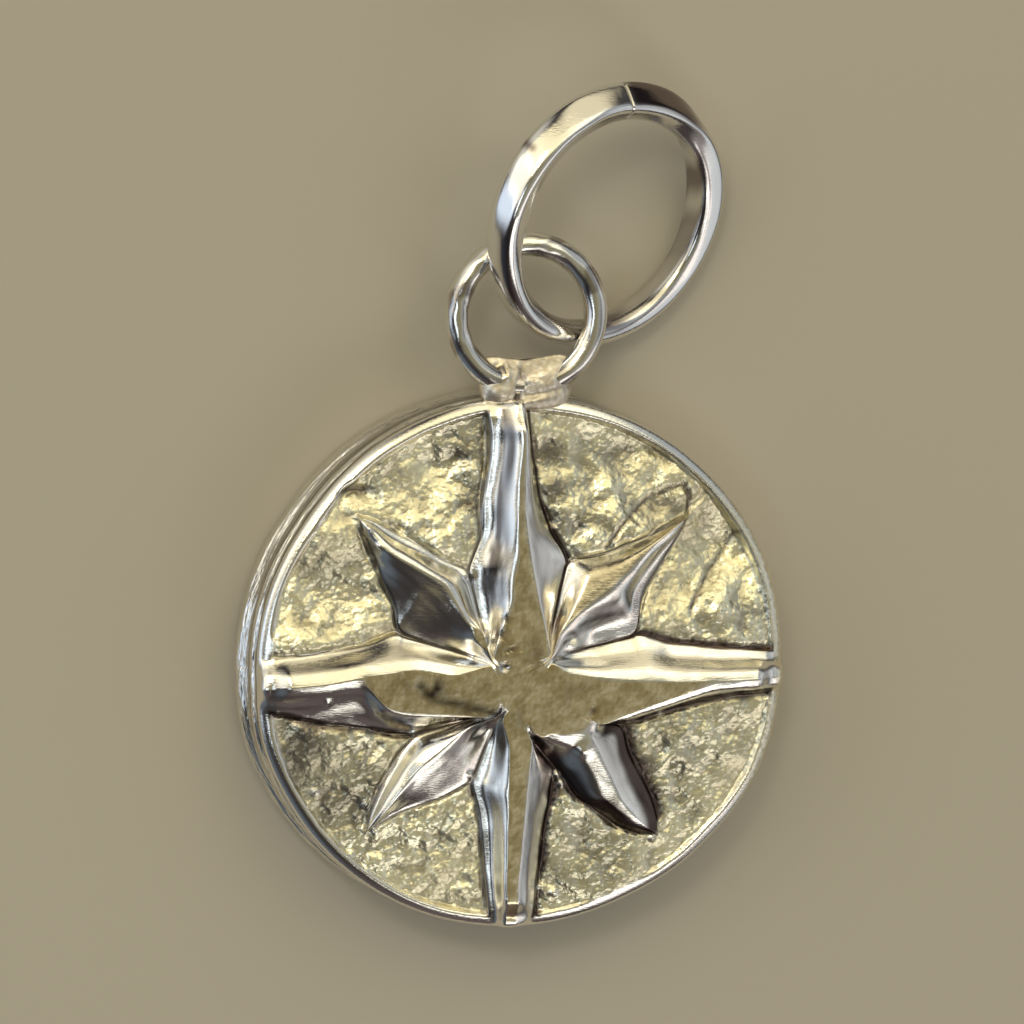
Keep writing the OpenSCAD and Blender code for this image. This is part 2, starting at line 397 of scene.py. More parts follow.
def ridge_line(corner, arm, ends):
    """The ridge of a short arm, from the corner of the filed top to its tip and beyond."""
    points = [corner] + [on_bearing(arm["bearing"], d, side) for d, side, _ in arm["ridge"]]
    return points + ends, [RELIEF] + [height for _, _, height in arm["ridge"]] + [0, 0]


def key_line(points, heights, r, near):
    """Bearing and height of a line of the star at the distances r. The line runs straight from
    point to point, and both are read from samples of it. near is a bearing close to it."""
    p = np.array(points, float)
    t = np.linspace(0, 1, SAMPLES + 1)[:, None]
    s = np.vstack([p[i] * (1 - t) + p[i + 1] * t for i in range(len(p) - 1)])
    h = np.concatenate([heights[i] * (1 - t[:, 0]) + heights[i + 1] * t[:, 0]
                        for i in range(len(p) - 1)])
    dist = np.hypot(s[:, 0], s[:, 1])
    bearing = np.degrees(np.arctan2(s[:, 1], s[:, 0]))
    bearing = near + (bearing - near + 180) % 360 - 180
    order = np.argsort(dist)
    return np.interp(r, dist[order], bearing[order]), np.interp(r, dist[order], h[order])


def star_lines(r):
    """The 28 lines that the grid's columns follow, in order round the star, as bearings and
    heights at the distances r: for each quarter the long arm's edge and foot, the short arm's
    foot, ridge and foot, and the next long arm's foot and edge."""
    lines = []
    for q in range(4):
        long_arm, short_arm, next_arm = LONG_ARMS[q], SHORT_ARMS[q], LONG_ARMS[(q + 1) % 4]
        corner, next_corner = on_bearing(*CORNERS_BEFORE[q]), on_bearing(*CORNERS_AFTER[q])
        valley = valley_points(corner, on_bearing(*NOTCHES_BEFORE[q]))
        next_valley = valley_points(next_corner, on_bearing(*NOTCHES_AFTER[q]))
        near = short_arm["bearing"]
        ends = [on_bearing(near, short_arm["tip"]), on_bearing(near, PAST_RIM)]
        quarter = [
            edge_line(corner, long_arm, LEFT), foot_line(valley, long_arm, LEFT),
            foot_line(valley, short_arm, RIGHT, ends), ridge_line(corner, short_arm, ends),
            foot_line(next_valley, short_arm, LEFT, ends),
            foot_line(next_valley, next_arm, RIGHT), edge_line(next_corner, next_arm, RIGHT),
        ]
        lines += [key_line(points, heights, r, near) for points, heights in quarter]
    return lines


def spread_lines(lines, r):
    """Softens the lines, keeps neighbours at least a little apart at each distance, and fans them
    out evenly inside the corner of the filed top and beyond the tips of the short arms."""
    bearings = np.array([softened(b, SOFT_ROWS) for b, _ in lines])
    heights = np.array([softened(h, SOFT_ROWS) for _, h in lines])
    gap = np.degrees(LINE_GAP / np.maximum(r, 0.3))
    foot_gap = FOOT_GAP * gap
    fan = FAN_START + np.arange(7)[:, None] * ((FAN_END - FAN_START) / 6)
    for q in range(4):
        block = bearings[7 * q:7 * q + 7].copy()
        for line, apart in ((2, gap), (1, foot_gap), (0, gap)):
            block[line] = np.minimum(block[line], block[line + 1] - apart)
        for line, apart in ((4, gap), (5, foot_gap), (6, gap)):
            block[line] = np.maximum(block[line], block[line - 1] + apart)
        beyond = np.maximum(r - SHORT_ARMS[q]["tip"], 0) * PARTING
        block[2] -= beyond
        block[4] += beyond
        inner = smooth(r, 0.2, CORNERS_BEFORE[q][1])
        even = LONG_ARMS[q]["bearing"] + fan
        bearings[7 * q:7 * q + 7] = even * (1 - inner) + block * inner
    return bearings, heights


def outline(bearing, which):
    """The disc's radius at a bearing: the outline table, joined by smooth steps."""
    table = np.array(OUTLINE, float)
    at = np.concatenate([table[:, 0], [360.0]])
    value = np.concatenate([table[:, which], table[:1, which]])
    x = bearing % 360
    i = np.clip(np.searchsorted(at, x, side="right") - 1, 0, len(at) - 2)
    t = ease((x - at[i]) / (at[i + 1] - at[i]))
    return value[i] * (1 - t) + value[i + 1] * t


def rim_distance(bearing, radius_inside):
    """The distance from the star's middle, along a bearing, to the disc's outline less
    radius_inside. Four rounds of repair are enough, because the outline is nearly round."""
    a = np.radians(bearing)
    r = np.full_like(a, 7.2)
    for _ in range(4):
        x, y = STAR_X + r * np.cos(a), STAR_Y + r * np.sin(a)
        want = outline(np.degrees(np.arctan2(y, x)), FRONT) - radius_inside
        r = r + want - np.hypot(x, y)
    return r


def key_columns():
    """The 28 lines on the grid's rows, each as distances, bearings and heights. Each line's rows
    are evenly spaced from near the star's middle to the polished edge, whose distance is found in
    three rounds, because it depends on the bearing there."""
    start = np.linspace(FIRST_R, INNER_R, INNER_COUNT, endpoint=False)
    r = np.concatenate([start, np.linspace(INNER_R, LAST_R, OUTER_COUNT)])
    share = np.linspace(0, 1, FACE_ROWS + 1)[1:]
    keys = []
    for bearing, height in zip(*spread_lines(star_lines(r), r)):
        at_edge = np.interp(7.3, r, bearing)
        for _ in range(3):
            end = rim_distance(np.array([at_edge]), EDGE_R)[0]
            at_edge = np.interp(end, r, bearing)
        rows = FIRST_R + share * (end - FIRST_R)
        keys.append((rows, np.interp(rows, r, bearing), np.interp(rows, r, height)))
    return keys


def flank(t, width, rise, section):
    """The height of a flank from 0 at its foot to 1 at its top: three straight stretches, a gentle
    foot, a steep middle and a gentle shoulder, whose widths and slopes hold all along the arm."""
    foot, foot_slope, shoulder, shoulder_slope = section
    foot = np.clip(foot / np.maximum(width, 0.05), 0.02, 0.42)
    shoulder = np.clip(shoulder / np.maximum(width, 0.05), 0.02, 0.56)
    low = np.minimum(foot_slope * foot * width / rise, 0.35)
    high = 1 - np.minimum(shoulder_slope * shoulder * width / rise, 0.6)
    high = np.maximum(high, low + 0.02)
    middle = low + (high - low) * (t - foot) / (1 - shoulder - foot)
    upper = high + (1 - high) * (t - 1 + shoulder) / shoulder
    return np.where(t < foot, low * t / foot, np.where(t < 1 - shoulder, middle, upper))


def field_band(q, i, t, r, width, h0, h1):
    """The field between a long arm's foot and a short arm's: its height, how far it belongs to the
    star (only at the feet and in the narrow valley), its ditch along the feet, and the painted shade
    along them."""
    from_first, from_last = t * width, (1 - t) * width
    long_side, short_side = (from_first, from_last) if i == 2 else (from_last, from_first)
    by_long, by_short = (PAINTED_SHADE[q][0], PAINTED_SHADE[q][1]) if i == 2 else (PAINTED_SHADE[q][3], PAINTED_SHADE[q][2])
    tip = SHORT_ARMS[q]["tip"]
    before_tip = 1 - smooth(r, tip - 0.3, tip)
    ditch = np.exp(-((long_side - DITCH) / DITCH) ** 2)
    ditch = np.maximum(ditch, before_tip * np.exp(-((short_side - DITCH) / DITCH) ** 2))
    wander = 1 + 0.45 * lattice_noise(r, t + i + 7 * q, 0.35, 62)
    # Painted shade on the field beside the feet, where the ditch lies in shade.
    shade_and_tarnish = by_long[0] * (1 - smooth(long_side / by_long[2] / wander, 0.5, 1.4))
    beside = 1 - smooth(short_side / by_short[2] / wander, 0.5, 1.4)
    shade_and_tarnish = np.maximum(shade_and_tarnish, by_short[0] * before_tip * beside)
    shade_and_tarnish = shade_and_tarnish * (1 - smooth(np.minimum(h0, h1), 0.08, 0.3))
    valley = 1 - smooth(width, 0.08, 0.25)
    star = np.maximum(np.exp(-(long_side / BLEND) ** 2), valley * before_tip)
    star = np.maximum(star, before_tip * np.exp(-(short_side / BLEND) ** 2))
    return h0 * (1 - t) + h1 * t, star, 0 * r, ditch, shade_and_tarnish


def flank_band(q, i, t, r, width, h0, h1):
    """A flank between a foot and an edge or ridge: its height with the casting lines that run along
    it, the painted shade at its foot, and a painted dark reflection in its steep middle."""
    number = FLANK_OF[i]
    up, low, high = (t, h0, h1) if i in RISING else (1 - t, h1, h0)
    share = flank(up, width, np.maximum(high - low, 0.03), FLANKS[q][number])
    dark_foot, reach, _, steep = PAINTED_SHADE[q][number]
    wander = 1 + 0.35 * lattice_noise(r, 0 * r + i + 7 * q, 0.4, 63)
    # Painted shade at the flank's foot.
    shade_and_tarnish = dark_foot * (1 - smooth(up * width / reach / wander, 0.6, 1.3))
    shade_and_tarnish = shade_and_tarnish * (1 - smooth(low, 0.08, 0.3))
    lane = lattice_noise(t * width / 0.10 + 3 * q, r / 1.6 + i, 1.0, 61)
    # The steep middle is painted dark, as a painted dark reflection.
    in_middle = smooth(share, 0.12, 0.3) * (1 - smooth(share, 0.7, 0.88)) * (0.8 + 0.9 * lane)
    broad = smooth(width, 0.2, 0.5) * smooth(high - low, 0.03, 0.2)
    shade_and_tarnish = np.maximum(shade_and_tarnish, np.clip(steep * in_middle, 0, 0.9) * broad)
    lines = STREAKS[q][number] * lane * smooth(t, 0, 0.15) * (1 - smooth(t, 0.85, 1)) * broad
    z = low + (high - low) * share + lines
    star, top = 1 + 0 * r, 0 * r
    if (q, i) == FILED_FLANK:
        top = 0.6 * smooth(up, 0.25, 0.4) * (1 - smooth(up, 0.85, 0.95)) + 0 * r
        shade_and_tarnish = np.maximum(shade_and_tarnish, 0.25 * smooth(up, 0.25, 0.4))
    if i in (3, 4):
        tip = SHORT_ARMS[q]["tip"]
        before_tip = 1 - smooth(r, tip - 0.1, tip + 0.1)
        star, shade_and_tarnish = star * before_tip, shade_and_tarnish * before_tip
    return z, star, top, 0 * r, shade_and_tarnish


def band(q, i, before, after):
    """One band of columns between two of the 28 lines, closer together near the lines: distances,
    bearings and heights, and how far each point is star, filed, in the ditch and sooty."""
    s = np.linspace(0, 1, COLUMNS[i], endpoint=False)
    t = 0.5 * s + 0.25 * (1 - np.cos(math.pi * s))
    (r0, b0, h0), (r1, b1, h1) = before, after
    if (q, i) == (0, 0):
        b0 = b0 - 360
    h0, h1 = h0[:, None], h1[:, None]
    r = r0[:, None] * (1 - t) + r1[:, None] * t
    bearing = b0[:, None] * (1 - t) + b1[:, None] * t
    width = np.radians(b1 - b0)[:, None] * r
    if i == 0:
        marks = h0 * (1 - t) + h1 * t, 1 + 0 * r, smooth(width, 0.05, 0.3), 0 * r, 0 * r
    elif i in FLANK_OF:
        marks = flank_band(q, i, t, r, width, h0, h1)
    else:
        marks = field_band(q, i, t, r, width, h0, h1)
    return r, bearing, *marks


def path_distance(x, y, path):
    """The distance of every point from a path of straight pieces."""
    best = np.full_like(x, 99.0)
    for (ax, ay), (bx, by) in zip(path[:-1], path[1:]):
        along = ((x - ax) * (bx - ax) + (y - ay) * (by - ay)) / ((bx - ax) ** 2 + (by - ay) ** 2)
        along = np.clip(along, 0, 1)
        away = np.hypot(x - ax - along * (bx - ax), y - ay - along * (by - ay))
        best = np.minimum(best, away)
    return best


def rounded(z, x, y, reach, rounds):
    """The heights after their creases are rounded: each round puts a point part of the way to the
    mean of its four neighbours on the grid, less so where they are further away than reach."""
    for _ in range(rounds):
        total, weight = z.copy(), np.ones_like(z)
        for shift, axis in ((1, 1), (-1, 1), (1, 0), (-1, 0)):
            zn, xn, yn = (np.roll(a, shift, axis) for a in (z, x, y))
            w = np.exp(-((x - xn) ** 2 + (y - yn) ** 2) / reach ** 2)
            if axis == 0:
                w[0 if shift == 1 else -1] = 0
            total += w * zn
            weight += w
        z = total / weight
    return z


def field_relief(x, y):
    """The rough cast field: slow swells, a slight dome, lumps of about half a millimetre that are
    higher in the upper right, fine grain and pits. With it comes a mask of its deepest places."""
    swell = 0.10 * lattice_noise(x, y, 2.2, 3) + 0.055 * lattice_noise(x, y, 1.1, 4)
    swell = swell - 0.10 * smooth(y, 0.6, 2.4) + 0.10 * smooth(y, 2.4, 5.0)
    swell = swell - 0.10 * smooth(x, 2.0, 3.8) * smooth(y, 0.6, 3.4)
    dome = 0.12 - 0.0045 * (x * x + y * y)
    upper_right = smooth(x + y, 2.0, 6.0)
    u, v = 0.8 * x - 0.6 * y, 0.6 * x + 0.8 * y
    lumps = (0.050 + 0.030 * upper_right) * lattice_noise(u, v, 0.50, 7)
    grain = 0.040 * lattice_noise(0.6 * x + 0.8 * y, 0.6 * y - 0.8 * x, 0.26, 8)
    pitting = 0.05 * smooth(lattice_noise(v, u, 0.34, 10), 0.35, 0.8)
    crevice = smooth(-(lumps + 1.2 * grain), 0.005, 0.06)
    return swell + dome + lumps + grain - pitting, crevice


def weathered(x, y, r, z, star, top, ditch, shade_and_tarnish):
    """The face's final heights above the field's level, and its masks: rounded creases, the field's
    relief, slopes and ditch, the star's waves, lumps, beads, stains with painted shade, patches and
    scars, and the step up to the polished edge. Its darkening mask is tarnish together with painted
    shade in pits, crevices, scars and along the feet."""
    z = rounded(z, x, y, 0.08, 6)
    sx, sy = x - STAR_X, y - STAR_Y
    inside = outline(np.degrees(np.arctan2(y, x)), FRONT) - np.hypot(x, y)
    lip = smooth(inside, STEP_TOP, STEP_FOOT)
    field = (1 - star) * lip
    relief, crevice = field_relief(x, y)
    for px, py, size, fall in SLOPES:
        relief = relief - fall * (sy - py) * spot(sx, sy, px, py, size)
    z = z + field * (relief - SINK) - DITCH_DEPTH * ditch * smooth(r, 2.6, 3.6) * lip
    waves = 0.018 * lattice_noise(x, y, 0.9, 21) + 0.009 * lattice_noise(x, y, 0.35, 22)
    z = z + star * (1 - top) * lip * waves * (1 - smooth(z, RELIEF - 0.06, RELIEF - 0.01))
    for px, py, size, height in LUMPS:
        hump = spot(sx, sy, px, py, size)
        z = z + height * hump
        # Pits are darkened, with tarnish and painted shade.
        shade_and_tarnish = np.maximum(shade_and_tarnish, 0.8 * hump * (height < 0))
    bead = np.max([spot(sx, sy, px, py, BEAD_SIZE) for px, py in BEADS], 0)
    z = z + BEAD_HEIGHT * bead
    # The field's deepest places are darkened with tarnish and painted shade, and the beads stay
    # clean.
    shade_and_tarnish = np.maximum(shade_and_tarnish, 0.45 * crevice * field) * (1 - bead)
    # Stains, and painted shade beside the arms' feet.
    stain_and_shade = 0 * shade_and_tarnish
    blotch = 0.75 + 0.5 * lattice_noise(x, y, 0.5, 25)
    for px, py, size, darkness in STAINS_AND_SHADE:
        hump = np.minimum(1.5 * spot(sx, sy, px, py, size), 1)
        stain_and_shade = np.maximum(stain_and_shade, darkness * hump * blotch * (1 - star))
    blotch = np.clip(0.6 + 1.1 * lattice_noise(x, y, 0.28, 26), 0, 1.3)
    on_top = smooth(z, RELIEF - 0.03, RELIEF - 0.01)
    for px, py, size, darkness in PATCHES:
        shade_and_tarnish = np.maximum(shade_and_tarnish, darkness * spot(sx, sy, px, py, size) * blotch * on_top)
    for width, depth, path in SCARS:
        groove = np.exp(-(path_distance(sx, sy, path) / width) ** 2)
        z = z - depth * groove
        # A scar's groove is darkened with tarnish and painted shade.
        shade_and_tarnish = np.maximum(shade_and_tarnish, 0.9 * groove)
    z = rounded(z, x, y, 0.03, 1)
    z = z * (1 - 0.5 * smooth(-inside, -(EDGE_R + 0.6), -EDGE_R) * star)
    z = z - 0.35 * np.clip(EDGE_R + 0.16 - inside, 0, 0.16) * (1 - smooth(z, 0.05, 0.3))
    top = np.maximum(top, star * smooth(z, RELIEF - 0.015, RELIEF - 0.003))
    around = np.degrees(np.arctan2(y, x)) % 360
    shine = 0.30 + 0.70 * smooth(around, 28, 50) * (1 - smooth(around, 322, 338))
    polish = np.maximum(np.maximum(star, bead), (1 - lip) * shine)
    # The darkening holds tarnish and painted shade.
    marks = dict(polish=polish, filed=top, tarnish_and_shade=shade_and_tarnish * smooth(r, 0.2, 0.6),
                 sanded=0 * shade_and_tarnish, stain_and_shade=np.clip(stain_and_shade, 0, 1))
    return z, marks, shine[-1]


def edge_wall_and_back(phi, height):
    """The rows past the face at the angles phi, from the height that the face ends at: the
    polished edge as a quarter of a superellipse, the wall with its bead and flange, the round back
    edge and the back. The wall wanders a little, as filed by hand."""
    deg = np.degrees(phi)
    front, back = outline(deg, FRONT), outline(deg, BACK)
    height = np.maximum(height, -0.07)
    start = math.radians(32) * (1 - smooth(height, 0.05, 0.3))
    power = 2 + 1.6 * smooth(height, 0.05, 0.4)
    wall_top = DISC_T - EDGE_R
    rows = []
    for e in np.linspace(0, 1, EDGE_ROWS + 1)[1:]:
        at = start + e * (math.pi / 2 - start)
        out = ((np.sin(at) - np.sin(start)) / (1 - np.sin(start))) ** (2 / power)
        up = (np.cos(at) / np.cos(start)) ** (2 / power)
        rows.append((front - EDGE_R + EDGE_R * out, wall_top + (EDGE_R + height) * up))
    left = np.exp(-((deg % 360 - 175) / 55) ** 2)
    wander = 0.04 * lattice_noise(deg / 25.0, 0 * deg, 1.0, 32)
    for z, proud in WALL:
        e = (wall_top - z) / (wall_top - BACK_R)
        rho = front - 0.03 + (np.maximum(back, front) - front) * smooth(e, 0.4, 0.7)
        rho = rho + proud * (0.3 + 0.7 * left)
        rho = rho + 0.010 * lattice_noise(deg / 9.0, np.full_like(deg, z * 0.6), 0.5, 31)
        rows.append((rho, z + wander * smooth(e, 0.05, 0.15) * (1 - smooth(e, 0.7, 0.85))))
    foot = rho
    for e in np.linspace(0, 1, 5)[1:]:
        out, up = np.cos(e * math.pi / 2), 1 - math.sin(e * math.pi / 2)
        rows.append((foot - BACK_R + BACK_R * out, np.full_like(foot, BACK_R * up)))
    for e in (0.2, 0.5, 0.8):
        rows.append(((foot - BACK_R) * (1 - e), 0 * foot))
    rho, z = (np.array(part) for part in zip(*rows))
    return rho * np.cos(phi), rho * np.sin(phi), z


def disc_and_star():
    """One closed surface over the star's bands of columns. Rows run from the star's middle to the
    rim, over the polished edge, down the wall, round the back edge and in to the middle of the
    back."""
    keys = key_columns()
    bands = [band(q, i, keys[7 * q + i - 1], keys[7 * q + i]) for q in range(4) for i in range(7)]
    r, bearing, z, star, top, ditch, shade_and_tarnish = (np.concatenate(part, 1) for part in zip(*bands))
    share = np.linspace(0, 1, FACE_ROWS + 1)[1:, None]
    r = r + share ** 2 * (rim_distance(bearing[-1], EDGE_R) - r[-1])
    a = np.radians(bearing)
    x, y = STAR_X + r * np.cos(a), STAR_Y + r * np.sin(a)
    z, marks, rim_shine = weathered(x, y, r, z, star, top, ditch, shade_and_tarnish)
    rim_x, rim_y, rim_z = edge_wall_and_back(np.arctan2(y[-1], x[-1]), z[-1])
    z = DISC_T + np.minimum(z, RELIEF)
    points = np.stack([np.vstack([x, rim_x]), np.vstack([y, rim_y]), np.vstack([z, rim_z])], -1)

    past = {name: np.zeros_like(rim_z) for name in marks}
    wall = slice(EDGE_ROWS, EDGE_ROWS + len(WALL))
    past["polish"][:] = 1
    past["polish"][:EDGE_ROWS - 1] = rim_shine
    past["sanded"][wall] = 1
    # Painted shade on the wall: in the notch under the face's edge and in the hollow between the bead
    # and the flange.
    past["tarnish_and_shade"][wall] = [[0.8 * math.exp(-((height - 2.17) / 0.07) ** 2)
                              + 0.6 * math.exp(-((height - 1.4) / 0.28) ** 2)]
                             for height, _ in WALL]
    poles = [(STAR_X, STAR_Y, DISC_T + RELIEF), (0, 0, 0)]
    return closed_mesh("star_disc_cast", points, poles,
                       {name: np.vstack([marks[name], past[name]]) for name in marks})


# The loop and its solder

LOOP = dict(x=0.19, y=9.75, z=2.25, r=1.96, wire=0.34)
SOLDER = dict(x=0.17, y=8.0, z=2.22, half_width=1.30, half_length=0.95, half_thick=0.45)


def wire_loop():
    """A ring of round wire, parallel to the face: a circle carried round a circle, with slight
    flats and waves of hand work."""
    u = full_turn(240)[:, None]
    w = full_turn(40)[None, :]
    twist = 1.6 * lattice_noise(6 * np.cos(u), 6 * np.sin(u), 3.0, 53)
    worn = 0.01 * (1 + np.cos(5 * u + 1.0))
    flats = 0.016 * (1 + np.cos(4 * w + 4 * twist))
    wire = LOOP["wire"] * (1 - worn - flats)
    rho = LOOP["r"] + wire * np.cos(w)
    x = LOOP["x"] + rho * np.cos(u)
    y = LOOP["y"] + rho * np.sin(u)
    z = LOOP["z"] + wire * np.sin(w) + 0 * u
    patches = ring_noise(u, w, LOOP["r"], LOOP["wire"], 0.5, 55)
    # Patchy tarnish, and painted shade on the loop's lower side where it meets the solder.
    shade_and_tarnish = 0.55 * smooth(patches, 0.1, 0.6) + 0.5 * smooth(-np.sin(u), 0.72, 0.95) + 0 * w
    return closed_mesh("loop_wire", np.stack([x, y, z], -1),
                       marks={"tarnish_and_shade": np.clip(shade_and_tarnish, 0, 1)})


def solder_pad():
    """The lump of solder: a flattened ball, wider than tall, whose upper side is hollowed and whose
    surface is lumpy, with two creases and one bright facet. Its outline is a superellipse and its
    hollow a parabola in x."""
    u = full_turn(160)[None, :]
    w = np.linspace(0, math.pi, 60)[1:-1, None]
    x = SOLDER["half_width"] * bent(np.sin(w), 0.7) * bent(np.cos(u), 0.6)
    y = SOLDER["half_length"] * bent(np.sin(w), 0.7) * bent(np.sin(u), 0.6)
    z = SOLDER["half_thick"] * bent(np.cos(w), 0.9) + 0 * u
    upper = smooth(y, -0.2, 0.8)
    y = y - upper * (0.42 - 0.36 * (x / 1.25) ** 2)
    crease = 0.12 * np.exp(-((x + 0.18 - 0.25 * y) / 0.10) ** 2)
    crease = crease + 0.05 * np.exp(-((y + 0.45 - 0.2 * x) / 0.12) ** 2)
    rough = lattice_noise(x, y + 2 * z, 0.2, 42)
    lumps = 0.06 * lattice_noise(x, y + 2 * z, 0.55, 41) + 0.012 * rough
    z = z + np.sign(z) * (np.minimum(lumps, 0.02) - crease)
    # Painted shade in the creases, and the lumps darker toward the disc.
    shade_and_tarnish = 5.5 * crease + 0.5 * smooth(lumps, 0.0, 0.05) * smooth(y, 0.3, -0.6)
    z = z - 0.16 * (y + 0.3) * (z > 0) * smooth(z, 0, 0.3)
    from_facet_x, from_facet_y = x + 0.76, y - 0.18
    facet = np.exp(-((from_facet_x ** 2 + from_facet_y ** 2) / 0.26 ** 2) ** 2)
    facet = facet * smooth(z, 0, 0.2)
    z = z + 0.26 * (from_facet_x - from_facet_y) * facet
    points = np.stack([x + SOLDER["x"], y + SOLDER["y"], z + SOLDER["z"]], -1)
    poles = [(0.17, 7.9, 2.66), (0.17, 7.9, 1.77)]
    return closed_mesh("solder", points, poles,
                       {"tarnish_and_shade": np.clip(shade_and_tarnish, 0, 0.9) * (1 - facet), "polish": facet})


# The jump ring

RING = dict(x=2.48, y=12.36, od=7.6, thick=0.76, broad=0.96, corner=0.32, lean=28.3, low=-35.6)
SEAM = 125.0
SEAM_DEPTH, SEAM_WIDTH = 0.035, 0.35

# How the ring's section changes round the ring: angle from its lowest side, how far the section
# is turned in degrees, how square it is (0 oval, 1 square) and how much heavier it is.
RING_SECTION = [
    (0, 5, 0.8, 0.97), (30, 0, 1.0, 1.04), (55, 0, 1.0, 1.06), (70, 6, 1.0, 1.06),
    (85, 24, 0.9, 1.04), (100, 40, 0.9, 1.01), (112, 45, 1.0, 1.00), (122, 45, 1.0, 1.00),
    (130, 38, 1.0, 1.00), (140, 34, 1.0, 1.03), (150, 38, 1.0, 1.05), (180, 32, 1.0, 1.05),
    (205, 20, 1.0, 1.04), (232, 8, 0.3, 1.00), (260, 0, 0.0, 1.00), (315, 0, 0.0, 1.00),
    (335, 0, 0.5, 0.98), (360, 5, 0.8, 0.97),
]


def ring_shade_and_tarnish(u, w, mid_r, a, b):
    """Where the ring is dark: tarnish in patches on its inside, and painted dark reflections on the
    outside before the seam, in a stripe and a spot on its upper left, and on the flanks of its far
    side. a and b are the section's offsets out of the ring and along its axis."""
    deg = np.degrees(u)
    out = a / (RING["thick"] / 2)
    patches = np.clip(0.6 + 0.6 * ring_noise(u, w, mid_r, 0.5, 0.6, 54), 0, 1)
    inner = smooth(-out, 0.35, 0.85) * patches * (0.35 + 0.45 * np.exp(-((deg - 62) / 42) ** 2))
    # Painted dark reflections: the outside before the seam, a stripe, a spot and the far side's
    # flanks.
    outer = smooth(out, -0.1, 0.25) * smooth(deg, 72, 90) * (1 - smooth(deg, 121, 127))
    across = (0.82 * a - 0.57 * b) / 0.42 + 0.2 * ring_noise(u, 0 * w, mid_r, 0.0, 0.8, 56)
    facing = smooth(0.57 * a + 0.82 * b, 0, 0.15)
    stripe = np.exp(-((across - 0.05) / 0.34) ** 2)
    stripe = stripe * smooth(deg, 204, 216) * (1 - smooth(deg, 246, 258))
    dot = np.exp(-((deg - 176) / 2.0) ** 2) * smooth(across, 0.35, 0.7)
    lower = 0.5 * smooth(np.abs(across), 0.55, 0.9)
    lower = lower * smooth(deg, 250, 262) * (1 - smooth(deg, 316, 330))
    return inner + 0.9 * outer + facing * (0.95 * stripe + 0.8 * dot) + lower


def jump_ring():
    """A superellipse carried round a circle that leans on the loop. RING_SECTION makes it oval or
    nearly square, and turns it, round the ring. A narrow groove round the section is the seam, and
    slow waves are the marks of pliers."""
    lean, low = math.radians(RING["lean"]), math.radians(RING["low"])
    mid_r = (RING["od"] - RING["thick"]) / 2
    rise = (mid_r + RING["thick"] / 2 - RING["corner"]) * math.sin(lean)
    rise += (RING["broad"] / 2 - RING["corner"]) * math.cos(lean) + RING["corner"]
    u = full_turn(900)[:, None]
    w = full_turn(96)[None, :]
    away = (np.degrees(u) - SEAM + 180) % 360 - 180
    seam = SEAM_DEPTH * np.exp(-(away / SEAM_WIDTH) ** 2)
    waves = 0.005 * (1 + ring_noise(u, w, mid_r, 0.4, 0.8, 51))
    twist = 1.4 * ring_noise(u, 0 * w, mid_r, 0.0, 2.6, 52)
    facet = 0.006 * (1 - np.cos(4 * w + 4 * twist))
    keys = np.array(RING_SECTION, float)
    turn, square, heavy = (np.interp(np.degrees(u), keys[:, 0], keys[:, k]) for k in (1, 2, 3))
    turn = np.radians(softened(turn[:, 0], 18))[:, None]
    power = 0.92 - 0.46 * square
    a = bent(np.cos(w), power) * (heavy * RING["thick"] / 2 - seam - waves - facet)
    b = bent(np.sin(w), power) * (heavy * RING["broad"] / 2 - seam - waves - facet)
    a, b = a * np.cos(turn) - b * np.sin(turn), a * np.sin(turn) + b * np.cos(turn)
    flat_x, flat_y = (mid_r + a) * np.cos(u), (mid_r + a) * np.sin(u)
    leaning_x = flat_x * math.cos(lean) + b * math.sin(lean)
    z = -flat_x * math.sin(lean) + b * math.cos(lean) + rise
    x = RING["x"] + leaning_x * math.cos(low) - flat_y * math.sin(low)
    y = RING["y"] + leaning_x * math.sin(low) + flat_y * math.cos(low)
    return closed_mesh("jump_ring_wire", np.stack([x, y, z], -1),
                       marks={"tarnish_and_shade": np.clip(ring_shade_and_tarnish(u, w, mid_r, a, b), 0, 1)})


# Materials

def feed(tree, socket, value):
    """Gives an input its value: a socket is linked to it, and a number, a vector or a colour is set
    on it."""
    if isinstance(value, bpy.types.NodeSocket):
        tree.links.new(value, socket)
    else:
        socket.default_value = (*value, 1) if socket.type == "RGBA" else value


def node(tree, kind, inputs=None, output=0, **settings):
    """A new node with these settings and inputs, and the output of it that is asked for. Inputs
    and outputs go by name or by number."""
    n = tree.nodes.new(kind)
    for key, value in settings.items():
        setattr(n, key, value)
    for key, value in (inputs or {}).items():
        feed(tree, n.inputs[key], value)
    return n.outputs[output]


def noise(tree, vector, scale, detail):
    """Plain noise, whose blotches are smaller as scale grows."""
    inputs = {"Vector": vector, "Scale": scale, "Detail": detail}
    return node(tree, "ShaderNodeTexNoise", inputs, "Fac")


def squeezed(tree, vector, scale, turn=(0, 0, 0)):
    """Coordinates scaled along each axis, so that a pattern on them is drawn out."""
    inputs = {"Vector": vector, "Rotation": turn, "Scale": scale}
    return node(tree, "ShaderNodeMapping", inputs)


def scaled(tree, vector, scale):
    """A vector times a number."""
    return node(tree, "ShaderNodeVectorMath", {0: vector, "Scale": scale}, operation="SCALE")


def spread(tree, value, low, high, start=0.0, end=1.0, **settings):
    """A value that goes from start to end as the given one goes from low to high."""
    inputs = {0: value, 1: low, 2: high, 3: start, 4: end}
    return node(tree, "ShaderNodeMapRange", inputs, **settings)


def mask(tree, name):
    """A mask that the mesh carries as an attribute."""
    return node(tree, "ShaderNodeAttribute", output="Fac", attribute_name=name)


def mix_numbers(tree, factor, low, high):
    """A value that goes from low to high with the factor. Both may be sockets or numbers."""
    return node(tree, "ShaderNodeMix", {"Factor": factor, 2: low, 3: high})


